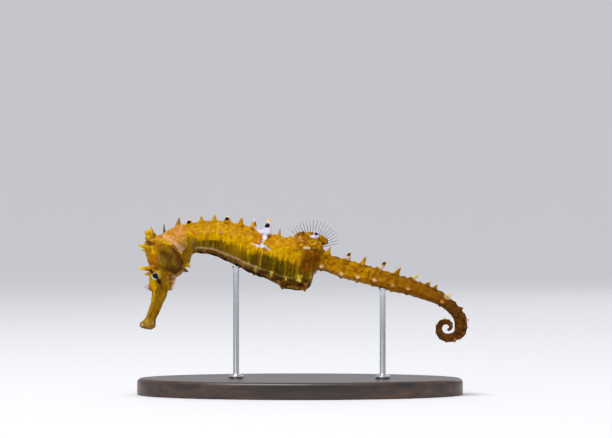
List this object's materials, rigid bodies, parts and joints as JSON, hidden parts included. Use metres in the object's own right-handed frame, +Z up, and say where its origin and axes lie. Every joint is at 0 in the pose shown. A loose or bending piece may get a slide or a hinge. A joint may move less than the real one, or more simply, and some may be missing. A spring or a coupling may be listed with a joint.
{
  "type": "seahorse",
  "caption": "Life-size still model of a spiny seahorse swimming level with its head held down, ringed body, star crown, dorsal fin and curled tail, on a plain stand with thin rods.",
  "frame": {"origin": "centre of the underside of the stand's base, on the surface it stands on", "axes": "+Z up, +X along the animal from its head towards its curled tail, -Y on the animal's left side"},
  "size_m": [0.0993, 0.044, 0.0547],
  "materials": {
    "skin_trunk": "painted skin over bony rings, satin",
    "skin_head": "painted skin over bony plates, satin",
    "skin_tail": "painted skin over bony rings, satin",
    "fin": "thin clear fin skin with dark rays",
    "eye": "wet gloss",
    "stand_wood": "dark satin varnish",
    "stand_steel": "brushed"
  },
  "bodies": {
    "root": {"head": "skin_head", "coronet": "skin_head", "eye_left": "eye", "eye_right": "eye", "neck": "skin_trunk", "trunk_front": "skin_trunk", "trunk_middle": "skin_trunk", "trunk_rear": "skin_trunk", "tail_1": "skin_tail", "tail_2": "skin_tail", "tail_3": "skin_tail", "tail_4": "skin_tail", "tail_5": "skin_tail", "tail_6": "skin_tail", "tail_7": "skin_tail", "tail_8": "skin_tail", "tail_9": "skin_tail", "tail_tip": "skin_tail", "dorsal_fin": "fin", "pectoral_fin_left": "fin", "pectoral_fin_right": "fin", "anal_fin": "fin", "stand_base": "stand_wood", "stand_rod_front": "stand_steel", "stand_rod_rear": "stand_steel"}
  },
  "joints": []
}
